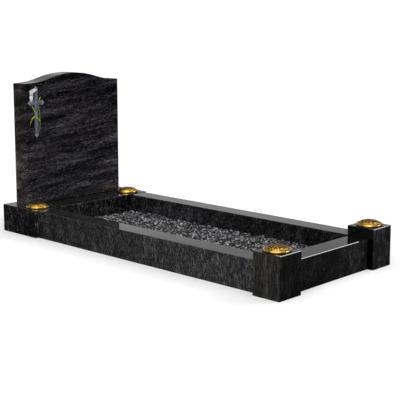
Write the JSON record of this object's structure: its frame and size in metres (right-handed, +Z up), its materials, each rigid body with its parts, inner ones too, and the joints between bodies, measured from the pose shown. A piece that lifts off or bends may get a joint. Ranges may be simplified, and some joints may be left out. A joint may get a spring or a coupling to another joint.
{
  "type": "kerbed memorial",
  "caption": "Grave memorial in polished dark granite: ogee headstone on a base, kerbs round a bed of chippings, foot posts and sunk flower pots under pierced gold lids.",
  "frame": {"origin": "on the ground below the middle of the plan, halfway along and across", "axes": "+Z up, +Y from the foot towards the headstone, whose carved face looks along -Y, +X to the right of someone who faces the headstone"},
  "size_m": [0.866, 2.023, 0.8863],
  "materials": {
    "granite": "polished",
    "chippings": "matte",
    "gold_lid": "polished",
    "pot_metal": "satin",
    "carving_cross": "matte",
    "carving_lily": "matte",
    "carving_leaves": "matte"
  },
  "bodies": {
    "root": {"headstone": "granite", "headstone_base": "granite", "kerb_left": "granite", "kerb_right": "granite", "kerb_foot": "granite", "post_left": "granite", "post_right": "granite", "chippings": "chippings", "pot_head_left": "pot_metal", "pot_head_right": "pot_metal", "pot_foot_left": "pot_metal", "pot_foot_right": "pot_metal", "lid_head_left": "gold_lid", "lid_head_right": "gold_lid", "lid_foot_left": "gold_lid", "lid_foot_right": "gold_lid"}
  },
  "joints": []
}
